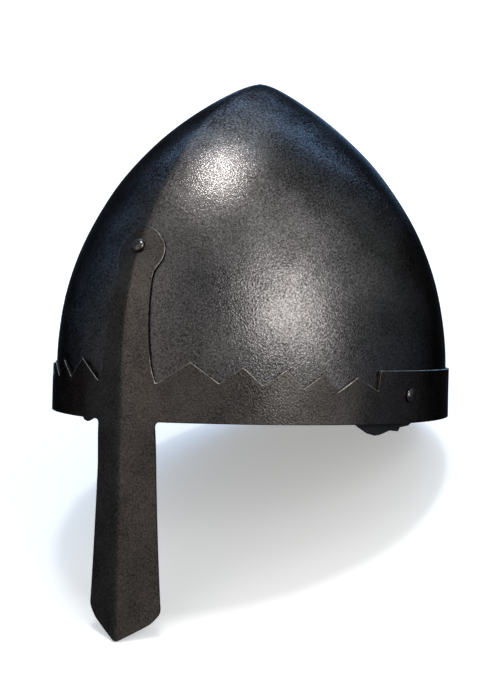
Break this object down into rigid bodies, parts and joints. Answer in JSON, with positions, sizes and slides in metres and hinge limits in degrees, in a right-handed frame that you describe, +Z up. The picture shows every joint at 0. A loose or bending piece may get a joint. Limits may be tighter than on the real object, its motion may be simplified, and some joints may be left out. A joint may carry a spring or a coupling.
{
  "type": "nasal helmet with a zigzag brow band",
  "caption": "Raised steel helmet with a keeled pointed crown, a riveted brow band with a zigzag edge and a nasal guard, and a leather lining band inside the rim.",
  "frame": {"origin": "on the ground under the middle of the box of the resting helmet, which lies tipped back on the tip of its nasal and the rear of its rim", "axes": "+X to the wearer's left, -Y to the front of the helmet, where the nasal is, +Z up from the ground; upright on a head the helmet is turned 23.3 degrees forward about X from this rest"},
  "size_m": [0.2066, 0.2828, 0.2091],
  "materials": {
    "blackened_steel": "oil-blackened raised sheet with a fine pebbly hammered grain, satin",
    "band_steel": "oil-blackened sheet, fine grained, its cut edges worn bright",
    "rivet_steel": "hammered domed heads, blackened and rubbed bright on top",
    "black_leather": "black vegetable-tanned leather, matt, with a cut edge"
  },
  "bodies": {
    "root": {"skull": "blackened_steel", "nasal_band": "band_steel", "leather_headband": "black_leather", "front_rivet": "rivet_steel", "side_rivet_left": "rivet_steel", "side_rivet_right": "rivet_steel"}
  },
  "joints": []
}
